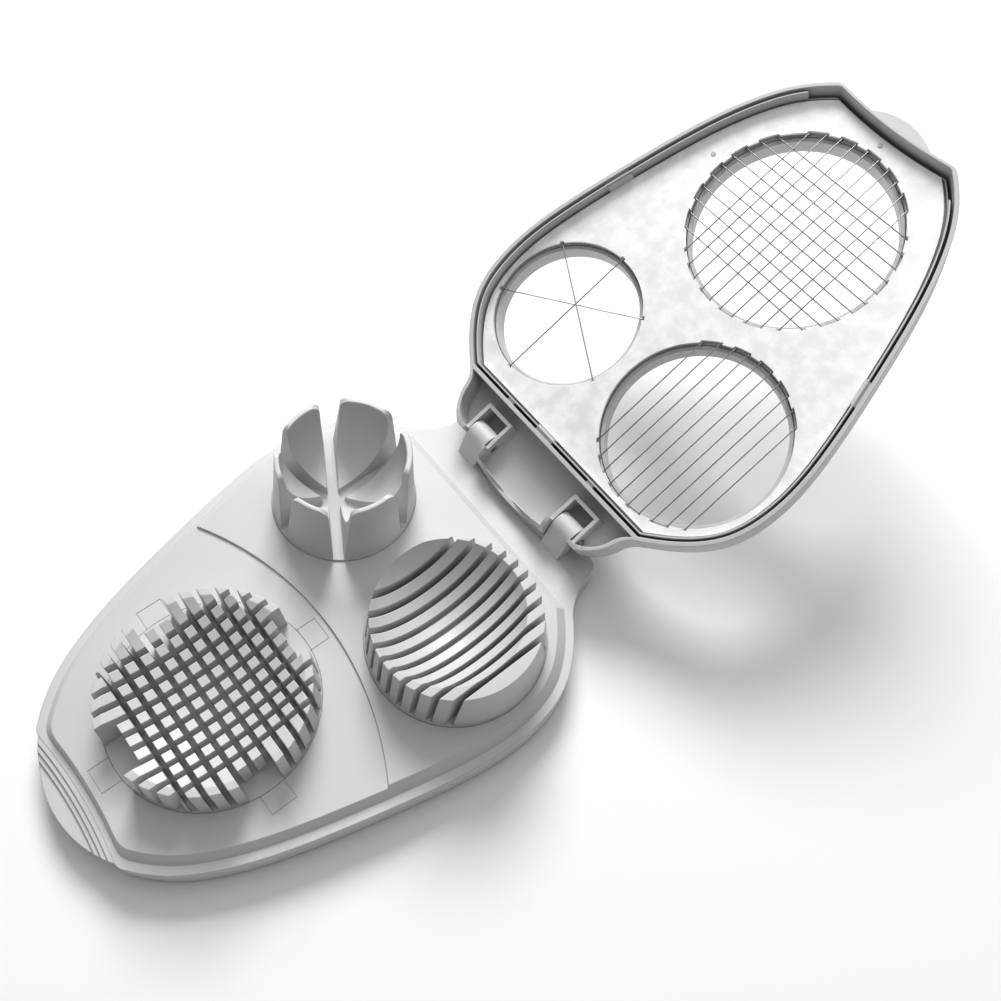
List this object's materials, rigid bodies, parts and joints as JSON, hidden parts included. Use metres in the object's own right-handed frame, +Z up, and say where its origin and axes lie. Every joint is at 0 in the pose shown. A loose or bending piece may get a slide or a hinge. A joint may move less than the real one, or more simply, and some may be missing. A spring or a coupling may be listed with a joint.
{
  "type": "egg slicer",
  "caption": "Hinged kitchen egg cutter: a shallow base with wedging, slicing and dicing anvils under a lid whose metal plate carries fine steel cutting wires.",
  "frame": {"origin": "on the resting plane, midway between the wing's rear edge and the grip's outer edge, on the base's middle plane, where the two under-deck ribs cross", "axes": "+X along the hinge axis towards the slicer's side, -Y towards the finger grip, +Y towards the opened lid, +Z up"},
  "size_m": [0.1324, 0.3361, 0.0967],
  "materials": {
    "base_plastic": "moulded light grey plastic, satin gloss",
    "anvil_plastic": "moulded light grey plastic, satin gloss",
    "lid_plastic": "moulded light grey plastic, satin gloss",
    "carrier_plastic": "moulded light grey plastic, fine matte",
    "plate_metal": "bright satin cast metal, softly mottled",
    "pin_steel": "turned steel",
    "wire_steel": "drawn stainless wire"
  },
  "bodies": {
    "base": {"base_shell": "base_plastic", "wedger_anvil": "anvil_plastic", "slicer_anvil": "anvil_plastic", "dicer_anvil": "anvil_plastic"},
    "lid": {"lid_frame": "lid_plastic", "wire_carrier": "carrier_plastic", "wire_plate": "plate_metal", "hinge_pin_left": "pin_steel", "hinge_pin_right": "pin_steel", "wedger_wire_1": "wire_steel", "wedger_wire_2": "wire_steel", "wedger_wire_3": "wire_steel", "slicer_wire_01": "wire_steel", "slicer_wire_02": "wire_steel", "slicer_wire_03": "wire_steel", "slicer_wire_04": "wire_steel", "slicer_wire_05": "wire_steel", "slicer_wire_06": "wire_steel", "slicer_wire_07": "wire_steel", "slicer_wire_08": "wire_steel", "slicer_wire_09": "wire_steel", "slicer_wire_10": "wire_steel", "dicer_long_wire_01": "wire_steel", "dicer_long_wire_02": "wire_steel", "dicer_long_wire_03": "wire_steel", "dicer_long_wire_04": "wire_steel", "dicer_long_wire_05": "wire_steel", "dicer_long_wire_06": "wire_steel", "dicer_long_wire_07": "wire_steel", "dicer_long_wire_08": "wire_steel", "dicer_long_wire_09": "wire_steel", "dicer_long_wire_10": "wire_steel", "dicer_cross_wire_01": "wire_steel", "dicer_cross_wire_02": "wire_steel", "dicer_cross_wire_03": "wire_steel", "dicer_cross_wire_04": "wire_steel", "dicer_cross_wire_05": "wire_steel", "dicer_cross_wire_06": "wire_steel", "dicer_cross_wire_07": "wire_steel", "dicer_cross_wire_08": "wire_steel", "dicer_cross_wire_09": "wire_steel", "dicer_cross_wire_10": "wire_steel"}
  },
  "joints": [
    {"name": "lid_hinge", "type": "hinge", "parent": "base", "child": "lid", "pos_m": [0, 0.08625, 0.0185], "axis": [1, 0, 0], "range_deg": [0, 154.7]}
  ]
}
